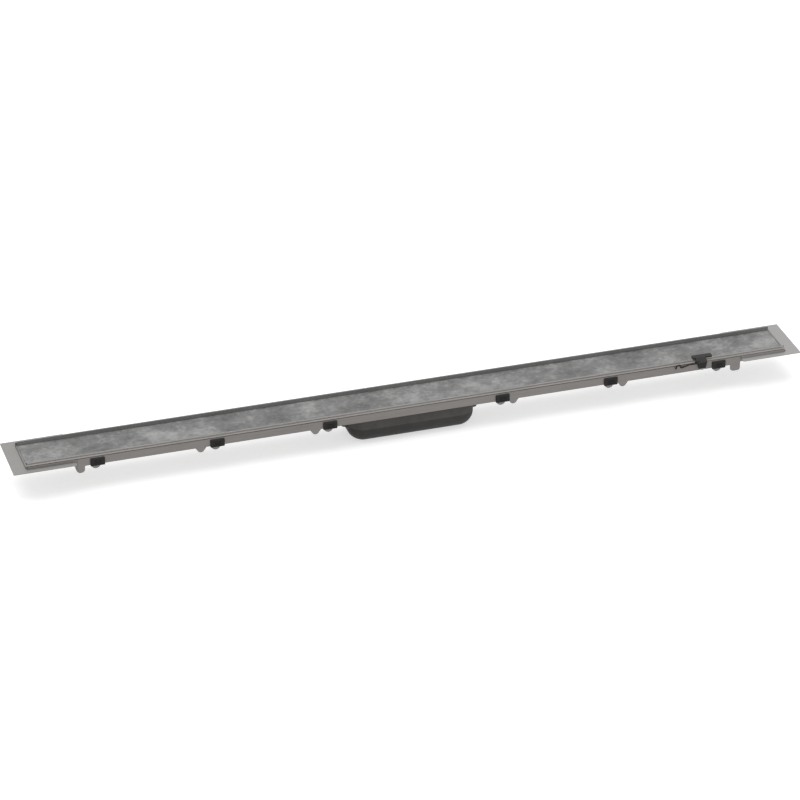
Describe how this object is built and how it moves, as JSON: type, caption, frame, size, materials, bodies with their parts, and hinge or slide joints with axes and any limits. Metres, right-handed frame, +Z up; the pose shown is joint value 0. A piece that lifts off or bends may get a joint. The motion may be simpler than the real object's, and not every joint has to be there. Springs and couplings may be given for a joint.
{
  "type": "channel drain",
  "caption": "Long stainless channel drain with a recessed tile cover tray, a height-setting frame, end flanges, levelling clips and a shallow trap tub under its middle.",
  "frame": {"origin": "centre of the tub's flat underside, which is the lowest point and the middle of the drain in plan", "axes": "+X along the drain, +Z up, front with the stowed lifting tool towards -Y"},
  "size_m": [1.243, 0.097, 0.0598],
  "materials": {
    "stainless": "fine satin, lightly brushed along the drain",
    "tile": "matt, cloudy grey, unglazed",
    "adhesive": "dull set mortar",
    "clip_plastic": "moulded, fine texture",
    "tub_plastic": "moulded, fine texture",
    "tool_plastic": "moulded, soft sheen",
    "tool_wire": "black coated wire",
    "seal_rubber": "dull",
    "pad_rubber": "dull",
    "screw_steel": "plain bright steel"
  },
  "bodies": {
    "channel": {"trough": "stainless", "end_flange_right": "stainless", "end_flange_left": "stainless", "foot_rail_front": "stainless", "foot_rail_rear": "stainless", "hair_strainer": "stainless", "height_clip_front_1": "clip_plastic", "height_clip_rear_1": "clip_plastic", "height_clip_front_2": "clip_plastic", "height_clip_rear_2": "clip_plastic", "height_clip_front_3": "clip_plastic", "height_clip_rear_3": "clip_plastic", "height_clip_front_4": "clip_plastic", "height_clip_rear_4": "clip_plastic", "height_clip_front_5": "clip_plastic", "height_clip_rear_5": "clip_plastic", "height_clip_front_6": "clip_plastic", "height_clip_rear_6": "clip_plastic", "outlet_seal": "seal_rubber", "joint_gasket": "seal_rubber", "outlet_neck": "tub_plastic", "outlet_tub": "tub_plastic", "trap_bell": "tub_plastic", "outlet_screws": "screw_steel", "joint_screws": "screw_steel"},
    "frame": {"height_frame": "stainless", "tray_pads": "pad_rubber", "cover_tray": "stainless", "tile_bed": "adhesive", "tile_strip": "tile", "lifter_handle": "tool_plastic", "lifter_tip": "screw_steel", "lifter_wire": "tool_wire"}
  },
  "joints": [
    {"name": "frame_height", "type": "slide", "parent": "channel", "child": "frame", "axis": [0, 0, 1], "range_m": [0, 0.007]}
  ]
}
